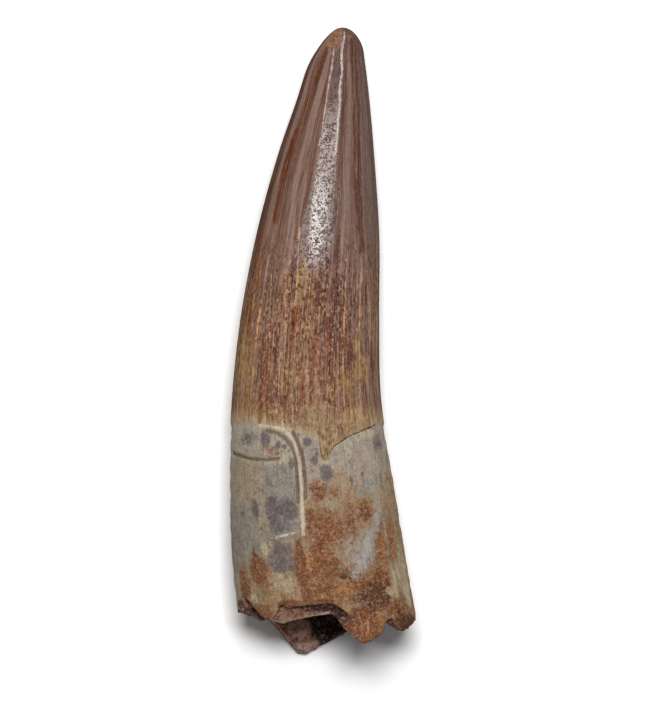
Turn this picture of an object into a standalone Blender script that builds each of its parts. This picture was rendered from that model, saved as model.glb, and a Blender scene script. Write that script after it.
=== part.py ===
"""A fossil spinosaur tooth: a fluted, slightly curved crown on a hollow root that is broken off below.

It lies on its side with its tip towards +Y, its broken root towards -Y and its domed face up (+Z).
Depth runs down the tooth from the tip, and height runs up it from the lowest splinter of the root.
The tooth grew as one piece, so it is one object.
"""

import math

import bmesh
import bpy
import numpy as np

MM = 0.001

LENGTH = 100 * MM
CROWN_LENGTH = 63.5 * MM

# Sections down the tooth in millimetres: depth, left edge x, right edge x, height of the centre
# above the ground, thickness as a share of the width.
SECTIONS = (
    (0.0, 3.1, 3.1, 4.9, 0.920),
    (1.3, 1.0, 5.1, 4.75, 0.920),
    (3.2, -0.6, 6.0, 4.65, 0.910),
    (5.5, -2.0, 6.4, 4.7, 0.900),
    (11.8, -4.2, 7.3, 5.5, 0.880),
    (21.3, -7.4, 8.1, 6.95, 0.860),
    (33.9, -10.7, 8.8, 8.2, 0.850),
    (46.6, -13.1, 8.8, 9.4, 0.840),
    (59.3, -14.4, 9.1, 10.15, 0.830),
    (71.9, -14.85, 11.3, 10.5, 0.815),
    (84.6, -14.5, 13.4, 10.7, 0.810),
    (93.3, -13.6, 14.9, 10.85, 0.805),
)

# The flutes are channels between sharp crests. Their depth fades out at the tip and at the crown's foot.
FLUTES = 18
FIRST_CREST = math.radians(10)
FLUTE_DEPTH = ((0, 0.0), (2, 0.06), (7, 0.26), (20, 0.38), (45, 0.30), (60, 0.12), (63.5, 0.0))

# The enamel ends in a low wavy step onto the root.
ENAMEL_THICKNESS = 0.22 * MM
ENAMEL_WAVE = 1.4 * MM
STEP_RUN = 1.2 * MM

# The broken end, as (x, height) in millimetres: the edge of the outer face and the edge of the
# cavity, each on the upper half of the wall and on the lower half.
UPPER_OUTER_BREAK = (
    (-14.0, 7.9), (-12.4, 7.8), (-11.2, 8.2), (-9.8, 6.8), (-8.4, 6.3), (-7.4, 7.4), (-6.6, 8.7),
    (-4.8, 8.1), (-3.4, 8.8), (1.6, 9.0), (2.9, 8.2), (4.8, 6.4), (5.6, 3.6), (6.9, 2.8),
    (8.4, 3.4), (9.6, 4.9), (10.1, 6.5), (11.4, 6.4), (12.4, 4.6), (13.4, 5.0), (14.6, 5.9),
)
LOWER_OUTER_BREAK = (
    (-14.0, 7.9), (-12.2, 6.5), (-9.4, 6.1), (-6.8, 3.3), (-4.2, 0.1), (-3.1, 0.0), (1.1, 2.1),
    (4.3, 3.8), (8.0, 6.0), (11.5, 6.7), (13.2, 5.2), (14.6, 5.9),
)
UPPER_INNER_BREAK = (
    (-10.4, 7.2), (-8.8, 6.3), (-7.4, 6.0), (-6.2, 5.7), (-4.0, 6.1), (-1.0, 7.0), (1.5, 7.3),
    (3.3, 5.2), (4.6, 3.9), (5.6, 3.2), (6.6, 3.1), (7.6, 3.7), (8.6, 5.2), (9.2, 6.4), (10.6, 5.4),
)
LOWER_INNER_BREAK = (
    (-10.4, 7.2), (-8.8, 6.6), (-7.4, 5.4), (-5.6, 3.3), (-3.9, 1.0), (-2.8, 0.6), (1.0, 2.6),
    (3.9, 4.3), (7.0, 6.2), (9.0, 6.9), (10.6, 5.4),
)

# The pulp cavity narrows upwards from the broken end to a blunt cone inside the crown's foot.
WALL_SHARE = 0.25
CAVITY_HEIGHT = 40 * MM

# The worn facet on the left shoulder of the tip is flat: nothing stands above this plane.
FACET_POINT = np.array((1.2, 48.2, 4.9)) * MM
FACET_NORMAL = np.array((-0.60, 0.60, 0.53))

# Swellings, ridges and grooves of the root: x, height, half width, half length, rise, in millimetres.
ROOT_RELIEF = (
    (-6.0, 24.0, 6.0, 14.0, 0.45),
    (6.5, 12.0, 5.0, 9.0, 0.50),
    (-1.0, 17.0, 2.6, 15.0, -0.45),
    (11.0, 22.0, 3.0, 12.0, -0.35),
    (3.2, 6.6, 1.7, 0.9, -0.70),
    (-3.5, 27.5, 1.2, 8.0, 0.45),
    (-10.5, 31.7, 4.2, 1.2, -0.30),
)

COLUMNS = 72
CROWN_ROWS = 29
ROOT_ROWS = 20
WALL_ROWS = 2
CAVITY_ROWS = 9
POLE_WELD = 0.01 * MM
SHARP_FROM = math.radians(40)

ENAMEL_BROWN = (0.120, 0.055, 0.034, 1.0)
ENAMEL_ROUGHNESS = 0.34


def curve_through(places, values, at):
    """A smooth cubic curve through the values, whose slope at each is that of its neighbours."""
    slopes = np.gradient(values, places)
    i = np.clip(np.searchsorted(places, at) - 1, 0, len(places) - 2)
    span = places[i + 1] - places[i]
    t = np.clip((at - places[i]) / span, 0, 1)
    from_start = (1 - t) ** 2 * (values[i] * (1 + 2 * t) + slopes[i] * span * t)
    from_end = t**2 * (values[i + 1] * (3 - 2 * t) - slopes[i + 1] * span * (1 - t))
    return from_start + from_end


def lines_through(stations, at):
    """Straight lines through stations in millimetres, read at places in metres."""
    places, values = np.array(stations).T * MM
    return np.interp(at, places, values)


def section(depth):
    """Centre x, centre height, half width and half thickness at a depth.

    The curves run along the square root of the depth, which rounds the tip as a parabola is round."""
    depths, left, right, centre, share = np.array(SECTIONS).T
    places, at = np.sqrt(depths * MM), np.sqrt(np.maximum(depth, 0))
    left_edge, right_edge, centre_z = (curve_through(places, v * MM, at) for v in (left, right, centre))
    half_width = (right_edge - left_edge) / 2
    return (left_edge + right_edge) / 2, centre_z, half_width, half_width * curve_through(places, share, at)


def flute(angle, depth):
    """How far a flute lies under its crests: a row of arches round the crown."""
    return lines_through(FLUTE_DEPTH, depth) * np.abs(np.sin(FLUTES / 2 * (angle - FIRST_CREST)))


def enamel_step(angle, depth):
    """The enamel's thickness down to its wavy foot, and nothing on the root."""
    foot = CROWN_LENGTH + ENAMEL_WAVE * np.sin(2 * angle + 0.6) * np.cos(angle)
    return ENAMEL_THICKNESS * np.clip((foot - depth) / STEP_RUN, 0, 1)


def root_relief(x, height, angle):
    """Smooth bumps and dents, each a bell curve across and along the upper face of the root."""
    rise = np.zeros_like(x)
    for bump_x, bump_height, half_width, half_length, bump_rise in ROOT_RELIEF:
        across = (x / MM - bump_x) / half_width
        along = (height / MM - bump_height) / half_length
        rise += bump_rise * MM * np.exp(-(across**2) - along**2)
    return rise * (np.sin(angle) > 0)


def tooth_point(angle, depth, share=1.0):
    """The point at an angle round the tooth and a depth, on an oval of a share of its full size."""
    centre_x, centre_z, half_width, half_thick = section(depth)
    x = centre_x + share * half_width * np.cos(angle)
    z = centre_z + share * half_thick * np.sin(angle)
    return np.stack((x, LENGTH / 2 - depth, z), axis=-1)


def outer_skin(angle, depth):
    """The outer face: the oval, with the flutes cut in and the enamel and the root's relief put on."""
    centre_x, centre_z, half_width, half_thick = section(depth)
    x = centre_x + half_width * np.cos(angle)
    rise = enamel_step(angle, depth) - ENAMEL_THICKNESS - flute(angle, depth)
    rise = rise + root_relief(x, LENGTH - depth, angle)
    share = 1 + rise / np.maximum(half_width, 3 * MM)
    point = tooth_point(angle, depth, share)
    above = np.maximum((point - FACET_POINT) @ FACET_NORMAL, 0)[..., None]
    point = point - above * FACET_NORMAL / (FACET_NORMAL @ FACET_NORMAL)
    point[..., 2] = np.maximum(point[..., 2], 0)
    return point


def break_depth(angle, share, upper, lower):
    """Depth of a broken edge, found from how far across the tooth it is on the upper or lower half."""
    centre_x, _, half_width, _ = section(np.array(0.93 * LENGTH))
    x = centre_x + share * half_width * np.cos(angle)
    height = np.where(np.sin(angle) >= 0, lines_through(upper, x), lines_through(lower, x))
    return LENGTH - height


def tooth_surface(angle, down):
    """Points of the whole skin: down the outside, across the broken wall and up the cavity.

    angle runs round the tooth, and down counts the rows."""
    outer_edge = break_depth(angle, 1, UPPER_OUTER_BREAK, LOWER_OUTER_BREAK)
    inner_share = 1 - WALL_SHARE
    inner_edge = break_depth(angle, inner_share, UPPER_INNER_BREAK, LOWER_INNER_BREAK)

    crown = np.clip(down / CROWN_ROWS, 0, 1)
    root = np.clip((down - CROWN_ROWS) / ROOT_ROWS, 0, 1)
    wall = np.clip((down - CROWN_ROWS - ROOT_ROWS) / WALL_ROWS, 0, 1)
    cavity = np.clip((down - CROWN_ROWS - ROOT_ROWS - WALL_ROWS) / CAVITY_ROWS, 0, 1)

    outside = outer_skin(angle, CROWN_LENGTH * crown**2 + (outer_edge - CROWN_LENGTH) * root)
    cavity_depth = inner_edge + (LENGTH - CAVITY_HEIGHT - inner_edge) * cavity
    inside = tooth_point(angle, cavity_depth, inner_share * np.sqrt(1 - cavity**2))
    across_wall = wall[..., None]
    return np.where(across_wall < 1, outside + (inside - outside) * across_wall, inside)


def grid_mesh(name, columns, rows):
    """A flat grid of columns by rows whose corners are then its place round and down the tooth."""
    shape = bmesh.new()
    bmesh.ops.create_grid(shape, x_segments=columns, y_segments=rows, size=0.5)
    mesh = bpy.data.meshes.new(name)
    shape.to_mesh(mesh)
    shape.free()
    return mesh


def close_seams(mesh):
    """Joins the grid's two long edges, and shrinks its ends to the tip and to the cavity's top."""
    shape = bmesh.new()
    shape.from_mesh(mesh)
    bmesh.ops.remove_doubles(shape, verts=shape.verts, dist=POLE_WELD)
    bmesh.ops.recalc_face_normals(shape, faces=shape.faces)
    shape.to_mesh(mesh)
    shape.free()


def enamel_material():
    """Polished brown enamel."""
    material = bpy.data.materials.new("fossil_enamel")
    material.use_nodes = True
    shader = material.node_tree.nodes["Principled BSDF"]
    shader.inputs["Base Color"].default_value = ENAMEL_BROWN
    shader.inputs["Roughness"].default_value = ENAMEL_ROUGHNESS
    shader.inputs["Metallic"].default_value = 0.0
    return material


def make_tooth(collection):
    """Rolls a flat grid up into the tooth's skin."""
    rows = CROWN_ROWS + ROOT_ROWS + WALL_ROWS + CAVITY_ROWS
    mesh = grid_mesh("tooth", COLUMNS, rows)
    flat = np.empty(len(mesh.vertices) * 3)
    mesh.vertices.foreach_get("co", flat)
    across, along, _ = flat.reshape(-1, 3).T + 0.5
    angle = 2 * math.pi * (np.round(across * COLUMNS) % COLUMNS) / COLUMNS
    points = tooth_surface(angle, np.round((1 - along) * rows))
    mesh.vertices.foreach_set("co", points.ravel())
    close_seams(mesh)
    mesh.shade_smooth()
    mesh.set_sharp_from_angle(angle=SHARP_FROM)
    mesh.materials.append(enamel_material())
    tooth = bpy.data.objects.new("tooth", mesh)
    collection.objects.link(tooth)
    return tooth


def main():
    for old in list(bpy.data.objects):
        bpy.data.objects.remove(old)
    collection = bpy.data.collections.new("spinosaur_tooth")
    bpy.context.scene.collection.children.link(collection)
    make_tooth(collection)


main()
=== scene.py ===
"""The looks of a fossil spinosaur tooth that lies on its side, seen from straight above.

One fine skin stands for the solid: enamel crown, root, broken wall and pulp cavity. Its marks are
placed in millimetres by x and by height, which runs up the tooth from the root's lowest splinter.
"""

import math
from typing import NamedTuple

import bpy
import numpy as np
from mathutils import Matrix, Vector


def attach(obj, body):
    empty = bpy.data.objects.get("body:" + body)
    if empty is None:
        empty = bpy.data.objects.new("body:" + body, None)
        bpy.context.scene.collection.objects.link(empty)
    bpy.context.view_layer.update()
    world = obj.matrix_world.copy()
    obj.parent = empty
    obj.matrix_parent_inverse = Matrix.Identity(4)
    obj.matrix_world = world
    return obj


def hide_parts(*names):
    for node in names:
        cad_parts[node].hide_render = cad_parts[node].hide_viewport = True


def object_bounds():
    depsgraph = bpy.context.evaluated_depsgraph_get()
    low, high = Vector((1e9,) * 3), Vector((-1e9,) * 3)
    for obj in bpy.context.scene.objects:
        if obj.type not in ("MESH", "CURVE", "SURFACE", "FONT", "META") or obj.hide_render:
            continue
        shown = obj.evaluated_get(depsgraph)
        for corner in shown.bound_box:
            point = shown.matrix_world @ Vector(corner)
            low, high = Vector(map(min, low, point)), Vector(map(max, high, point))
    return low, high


MM = 0.001

# The light that a white face shows when it looks up, in shares of the screen's white, the light taken
# off every colour, which keeps the dark ones deep, and the darkest surface colour.
LIGHT = 1.2
DEEPENING = 0.007
DARKEST = 0.002

LENGTH = 100 * MM
CROWN_LENGTH = 63.5 * MM

# Sections down the tooth in millimetres: depth from the tip, left edge x, right edge x, height of
# the centre above the ground, thickness as a share of the width.
SECTIONS = (
    (0.0, 3.1, 3.1, 4.9, 0.920),
    (1.3, 0.8, 5.4, 4.75, 0.920),
    (3.2, -0.75, 6.4, 4.65, 0.910),
    (5.5, -2.15, 6.75, 4.7, 0.900),
    (11.8, -4.3, 7.5, 5.5, 0.880),
    (21.3, -7.5, 8.3, 6.95, 0.860),
    (33.9, -10.8, 9.05, 8.2, 0.850),
    (46.6, -13.1, 8.95, 9.4, 0.840),
    (59.3, -14.4, 9.25, 10.15, 0.830),
    (71.9, -14.85, 11.3, 10.5, 0.815),
    (84.6, -14.5, 13.4, 10.7, 0.810),
    (93.3, -13.6, 14.9, 10.85, 0.805),
)

# The skin's grid. Its columns crowd together on the upper side, where the marks are, and its rows at
# the tip.
COLUMNS = 280
UPPER_CROWDING = 0.4
TIP_CROWDING = 1.3
CROWN_ROWS = 160
ROOT_ROWS = 95
WALL_ROWS = 36
CAVITY_ROWS = 50

# Flutes round the crown: the crest's angle in degrees, and the depth of the channel after it.
FLUTES = (
    (-172, 0.22), (-155, 0.26), (-137, 0.24), (-120, 0.28), (-103, 0.22), (-86, 0.28), (-68, 0.24),
    (-50, 0.28), (-33, 0.24), (-14, 0.22), (8, 0.20), (26, 0.20), (41, 0.30), (63, 0.26),
    (75, 0.17), (100, 0.20), (114, 0.42), (150, 0.25),
)
FLUTE_FADE = ((0, 0.0), (1.5, 0.2), (5, 0.8), (12, 1.0), (30, 0.75), (48, 0.3), (63, 0.0))

# The flat between the two sharpest crests is polished: how much, and the angles in degrees of its
# right and left edges, each by depth.
POLISH_FADE = (
    (2, 0.05), (11, 0.14), (14, 0.35), (17, 0.6), (20, 0.5), (23, 0.55), (28, 0.95), (35, 1.0),
    (37.5, 0.5), (39, 0.12), (40.5, 0.0),
)
POLISH_RIGHT = ((20, 74), (26, 70), (30, 71), (36, 76))
POLISH_LEFT = ((12, 98), (22, 101), (28, 105), (35, 110))

# Fine ridges stand between and over the flutes, mostly on the lower half of the crown. Each has its own
# share of the full height, starts at its own depth in millimetres and grows over a length. Slow sine
# waves, given as (size, waves round, start), space them unevenly. One flat, given by its two angles in
# degrees, stays smooth down to its end.
RIDGES = 47
RIDGE_HEIGHT = 0.09 * MM
RIDGE_HEIGHTS = (0.25, 1.0)
RIDGE_STARTS = (6, 38)
RIDGE_GROWTH = 12
RIDGE_WOBBLES = ((0.06, 5, 1), (0.035, 11, 2), (0.012, 23, 0))
SMOOTH_FLAT = (74, 101)
SMOOTH_FLAT_END = 46 * MM
RIDGE_FADE = ((0, 0.0), (8, 0.15), (22, 0.5), (38, 1.0), (58, 0.9), (64, 0.3))

# The enamel ends in a low step, which rises over a short length. Its foot on the upper side is given as
# (x, height), and on the lower side it waves about one height.
ENAMEL_THICKNESS = 0.22 * MM
ENAMEL_STEP = 0.35 * MM
LOWER_FOOT = 36.9 * MM
LOWER_FOOT_WAVE = 1.2 * MM
ENAMEL_FOOT = (
    (-15.9, 37.4), (-11.2, 37.2), (-8.0, 36.9), (-4.9, 36.5), (-4.2, 35.8), (-2.2, 35.4),
    (-1.2, 35.4), (-0.8, 34.9), (-0.5, 33.3), (-0.3, 31.7), (0.4, 31.2), (1.0, 31.7), (1.2, 32.8),
    (1.7, 33.6), (3.7, 34.9), (5.3, 35.7), (6.8, 36.3), (8.4, 36.9), (10.0, 37.6), (12.2, 37.9),
)

# The broken end, as (x, height): the edge of the outer face, and below it the edge of the wall.
UPPER_OUTER_BREAK = (
    (-14.4, 7.5), (-13.6, 7.7), (-12.6, 7.5), (-12.3, 10.0), (-11.5, 8.9), (-10.7, 8.0),
    (-10.2, 7.4), (-9.5, 6.7), (-8.7, 6.4), (-8.0, 6.7), (-7.4, 7.5), (-6.8, 8.5), (-6.1, 8.8),
    (-5.2, 8.2), (-4.4, 8.5), (-3.6, 8.6), (-1.7, 8.8), (0.4, 9.0), (1.8, 9.0), (2.7, 8.6),
    (3.5, 8.0), (4.2, 7.2), (4.8, 5.9), (5.1, 4.0), (5.7, 2.9), (6.8, 2.8), (7.7, 3.2),
    (9.0, 4.0), (9.6, 5.0), (9.9, 6.3), (10.6, 6.6), (11.3, 6.3), (11.8, 5.0), (12.7, 4.5),
    (13.5, 4.8), (14.3, 5.5), (14.7, 5.9),
)
UPPER_WALL_BREAK = (
    (-14.4, 7.5), (-13.6, 7.6), (-12.6, 7.4), (-12.1, 6.7), (-11.5, 6.1), (-10.6, 5.7),
    (-9.6, 5.9), (-9.0, 6.1), (-8.0, 6.2), (-6.3, 5.7), (-4.9, 6.2), (-3.6, 6.5), (-1.2, 7.0),
    (0.5, 7.2), (1.5, 7.3), (2.4, 6.4), (3.2, 5.1), (4.6, 3.9), (5.4, 3.1), (6.6, 3.1),
    (7.6, 3.7), (8.6, 5.2), (9.2, 6.4), (10.6, 5.4),
)
LOWER_OUTER_BREAK = (
    (-14.4, 7.5), (-12.2, 6.5), (-9.4, 6.1), (-6.8, 3.3), (-4.2, 0.1), (-3.1, 0.0), (1.1, 2.1),
    (4.3, 3.8), (8.0, 6.0), (11.5, 6.7), (13.2, 5.2), (14.7, 5.9),
)
LOWER_WALL_BREAK = (
    (-11.0, 7.2), (-8.8, 6.6), (-7.4, 5.0), (-5.6, 3.0), (-3.9, 0.9), (-2.8, 0.5), (1.0, 2.5),
    (3.9, 4.2), (7.0, 6.2), (9.0, 6.9), (10.6, 5.4),
)

# The breaks are laid out across the tooth's section at this depth.
BREAK_SECTION_DEPTH = 93 * MM

# The wall takes this share of the half width, and the pulp cavity ends at this height. A narrow ledge
# runs just inside the outer edge: its share of the wall's rows, its share of the tooth's full size, and
# how far it lies above the edge.
WALL_SHARE = 0.25
CAVITY_HEIGHT = 40 * MM
LEDGE_ROWS = 0.25
LEDGE_SHARE = 0.93
LEDGE_RISE = 0.2 * MM

# The worn facet on the left shoulder of the tip is flat: nothing stands above this plane. It looks
# fully worn where at least this much is gone.
FACET_POINT = np.array((1.925, 46.39, 7.93)) * MM
FACET_NORMAL = np.array((-0.37, 0.57, 0.72))
FULLY_WORN = 0.12 * MM

# Broad swellings of the root's upper face: x, height, half width, half length, rise.
SWELLINGS = (
    (-6.0, 24.0, 6.0, 14.0, 0.35),
    (6.5, 12.0, 5.0, 9.0, 0.40),
    (-1.0, 17.0, 2.6, 15.0, -0.35),
    (11.0, 22.0, 3.0, 12.0, -0.30),
)

# Roughness in layers of clouds, each with its height and size in millimetres and its random seed.
CRUST_ROUGHNESS = ((0.16, 1.1, 3),)
ROOT_ROUGHNESS = ((0.05, 2.6, 4), (0.02, 1.3, 5))
WALL_ROUGHNESS = ((0.22, 1.2, 11), (0.10, 0.5, 12))
CAVITY_ROUGHNESS = ((0.15, 2.0, 13),)

# The floor's size and its gap under the tooth, and the camera's place above the tooth, in metres.
FLOOR_SIZE = 3
FLOOR_GAP = 0.05 * MM
CAMERA_PLACE = (1.54 * MM, -1.50 * MM, 935.7 * MM)


class Line(NamedTuple):
    """A drawn line on the upper face: half its width and its rise in millimetres, its colour and that
    colour's strength, how ragged it is, and the points (x, height) that it runs through.

    All lines have the same rate of clouds and the same softness."""

    half_width: float
    rise: float
    tone: tuple
    strength: float
    ragged: float
    points: tuple

    cloud_rate = 1400.0
    soft = 0.2


class Stain(NamedTuple):
    """A stain of the upper face: its colour, strength, cloud size in millimetres, raggedness and
    softness, and its oval spots: x, height, half width, half length, strength."""

    tone: tuple
    strength: float
    cloud: float
    ragged: float
    soft: float
    spots: tuple

    @property
    def cloud_rate(self):
        """Clouds to the metre."""
        return 1000 / self.cloud


CROWN_LINES = {
    # The two crest lines are a pale painted sheen along the crests beside the polished flat.
    "left_crest_painted_sheen": Line(0.65, 0, (144, 119, 111), 0.85, 0.7, (
        (1.0, 95.5), (0.4, 93.9), (0.1, 92.3), (-0.4, 90.4), (-1.0, 88.2), (-2.0, 84.3), (-3.1, 79.5),
        (-4.2, 75.6), (-5.0, 68.0), (-5.6, 61.0))),
    "right_crest_painted_sheen": Line(0.45, 0, (130, 106, 99), 0.65, 1.1, (
        (4.2, 98.3), (4.2, 96.1), (4.3, 93.9), (4.3, 90.6), (4.3, 86.6), (4.2, 81.9), (3.8, 77.1),
        (3.5, 72.4), (3.2, 67.6), (2.9, 60.0))),
    "rust_groove": Line(0.75, 0, (92, 50, 36), 1.0, 0.9, (
        (0.5, 96.3), (0.0, 95.2), (-0.3, 94.2), (-0.8, 92.6), (-1.3, 91.1), (-1.9, 89.3), (-2.7, 86.9),
        (-3.6, 84.4), (-4.9, 81.7), (-6.1, 77.1), (-6.9, 73.2), (-7.6, 69.2))),
    "thin_groove": Line(0.20, 0, (92, 66, 56), 0.65, 0.9, (
        (1.3, 95.5), (1.0, 93.6), (0.6, 91.4), (0.1, 88.8), (-0.7, 85.7), (-1.7, 81.9), (-2.8, 77.9),
        (-3.8, 74.0), (-4.4, 66.0))),
    "red_groove": Line(0.36, 0, (84, 58, 56), 0.75, 0.9, (
        (3.6, 98.0), (3.6, 96.1), (3.7, 94.2), (3.6, 91.7), (3.4, 89.0), (3.2, 85.8), (2.9, 81.9),
        (2.5, 77.1), (2.1, 72.4), (1.6, 67.3))),
    "right_groove": Line(0.72, 0, (84, 56, 48), 0.95, 1.0, (
        (4.8, 97.8), (5.0, 94.9), (5.2, 93.0), (5.4, 89.8), (5.5, 85.8), (5.6, 81.1), (5.7, 75.6),
        (5.9, 69.2), (6.1, 64.5))),
    "plum_flat": Line(0.70, 0, (86, 64, 64), 0.75, 1.4, (
        (2.4, 95.6), (2.1, 93.0), (1.8, 90.4), (1.3, 85.4), (0.9, 82.0))),
    # The two polish lines are painted highlights along the sharp crests near the tip, on a faint rise.
    "left_painted_highlight": Line(0.12, 0.03, (206, 192, 186), 0.8, 3.6, (
        (1.7, 96.4), (1.7, 95.3), (1.5, 94.2), (1.4, 93.0), (1.1, 91.7), (0.9, 90.4), (0.7, 89.2),
        (0.5, 87.6), (0.2, 85.4), (-0.1, 83.1), (-0.6, 80.9))),
    "right_painted_highlight": Line(0.16, 0.03, (206, 192, 186), 0.85, 3.6, (
        (3.4, 99.1), (3.4, 98.0), (3.1, 97.1), (3.0, 95.5), (3.0, 94.2), (3.1, 93.0), (2.9, 91.7),
        (2.7, 90.4), (2.7, 88.8), (2.6, 86.9), (2.4, 84.7), (2.3, 82.2), (2.0, 79.7))),
    "middle_hair": Line(0.14, 0, (212, 176, 150), 0.9, 2.6, (
        (-3.7, 68.0), (-3.9, 62.4), (-4.2, 56.9), (-4.4, 55.5))),
    "left_hair": Line(0.12, 0, (196, 160, 138), 0.8, 3.0, ((-8.2, 60.8), (-8.3, 56.2), (-8.5, 50.8))),
    "inner_hair": Line(0.12, 0, (200, 160, 136), 0.8, 3.0, ((-5.8, 61.6), (-5.9, 53.9), (-6.0, 48.4))),
    "right_hair": Line(0.13, 0, (200, 158, 118), 0.9, 2.0, ((3.3, 54.8), (3.3, 50.6))),
    "golden_hair": Line(0.16, 0, (188, 148, 98), 0.9, 2.0, ((-10.0, 54.6), (-10.5, 50.6))),
    "yellow_hair": Line(0.13, 0, (196, 166, 112), 0.9, 2.0, ((5.4, 51.3), (5.3, 48.4))),
}

ROOT_LINES = {
    "curved_ridge": Line(0.34, 0.34, (198, 184, 162), 0.85, 1.3, (
        (-9.9, 36.9), (-8.0, 36.7), (-6.4, 36.2), (-5.3, 35.4), (-4.5, 34.3), (-4.1, 33.0),
        (-3.7, 31.3), (-3.4, 28.1), (-3.3, 24.9), (-3.1, 21.8), (-3.0, 19.9))),
    "outer_groove": Line(0.28, -0.22, (98, 78, 68), 0.8, 0.5, (
        (-4.7, 35.8), (-4.2, 35.0), (-3.8, 33.9), (-3.3, 32.5), (-3.0, 30.5), (-2.7, 28.1),
        (-2.7, 25.4))),
    "inner_groove": Line(0.30, -0.22, (104, 90, 76), 0.8, 0.6, (
        (-9.0, 36.0), (-7.4, 35.7), (-6.1, 35.0), (-5.2, 33.9), (-4.5, 32.5), (-4.2, 30.9),
        (-4.0, 28.4), (-3.9, 24.9))),
    "cross_groove": Line(0.26, -0.28, (98, 86, 62), 0.85, 0.4, (
        (-14.5, 32.5), (-13.1, 32.0), (-11.5, 31.6), (-9.6, 31.5), (-8.0, 31.5), (-6.9, 31.7))),
    "pale_streak": Line(0.8, 0.10, (158, 154, 150), 0.6, 1.8, (
        (9.2, 23.0), (8.4, 21.1), (7.6, 19.1), (6.7, 17.0), (5.9, 15.1), (4.9, 13.5))),
    "white_scratch": Line(0.12, 0.03, (196, 190, 182), 0.8, 4.5, (
        (-8.3, 19.2), (-7.4, 19.1), (-6.3, 19.6), (-5.2, 19.9), (-3.9, 20.0))),
    # The lobe's ridges are raised, and their pale tones are painted highlights.
    "lobe_ridge": Line(0.28, 0.28, (190, 140, 112), 0.5, 0.5, ((7.0, 6.2), (7.1, 5.0), (6.9, 4.2))),
    "lobe_side_ridge": Line(0.28, 0.22, (170, 120, 92), 0.4, 0.5, ((5.6, 7.0), (6.1, 5.4), (6.2, 4.0))),
}

# The crack runs along the enamel's foot, near this line.
CRACK_LINES = {
    "crack": Line(0.55, 0, (56, 40, 30), 0.9, 1.6, (
        (0.8, 32.7), (1.9, 33.8), (3.5, 34.8), (4.6, 35.3), (5.9, 35.9), (6.8, 36.3), (8.1, 36.8))),
}

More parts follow.
